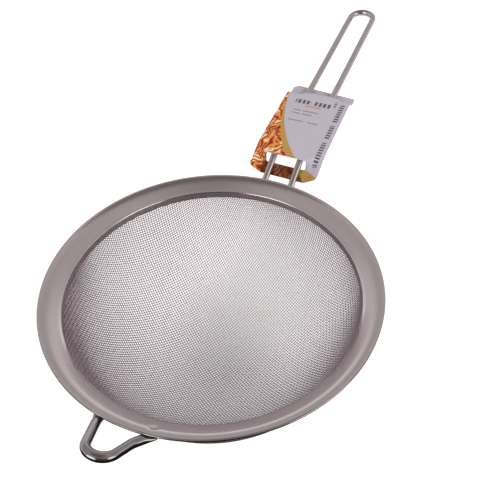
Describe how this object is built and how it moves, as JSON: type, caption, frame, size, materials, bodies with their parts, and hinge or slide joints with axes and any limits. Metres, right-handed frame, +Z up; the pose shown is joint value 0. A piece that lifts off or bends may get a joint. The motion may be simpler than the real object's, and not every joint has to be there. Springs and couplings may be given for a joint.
{
  "type": "mesh strainer",
  "caption": "Round wire-mesh strainer: deep woven bowl in a wide polished rim, long loop handle, rest hook opposite, and a card that slides on the handle.",
  "frame": {"origin": "centre of the rim, on the plane of its highest edge", "axes": "+X along the handle, +Z up, the bowl below"},
  "size_m": [0.4261, 0.2, 0.1498],
  "materials": {
    "polished_steel": "polished",
    "woven_steel": "plain woven wire",
    "rod_steel": "polished rod",
    "weld_metal": "as welded",
    "printed_card": "coated print"
  },
  "bodies": {
    "strainer": {"rim_flange": "polished_steel", "mesh_bowl": "woven_steel", "clamp_band": "polished_steel", "handle_loop": "rod_steel", "handle_weld_left": "weld_metal", "handle_weld_right": "weld_metal", "rest_hook": "rod_steel", "hook_weld_left": "weld_metal", "hook_weld_right": "weld_metal"},
    "card": {"hang_card": "printed_card"}
  },
  "joints": [
    {"name": "card_slide", "type": "slide", "parent": "strainer", "child": "card", "axis": [0.9736, 0, 0.2283], "range_m": [0, 0.1]}
  ]
}
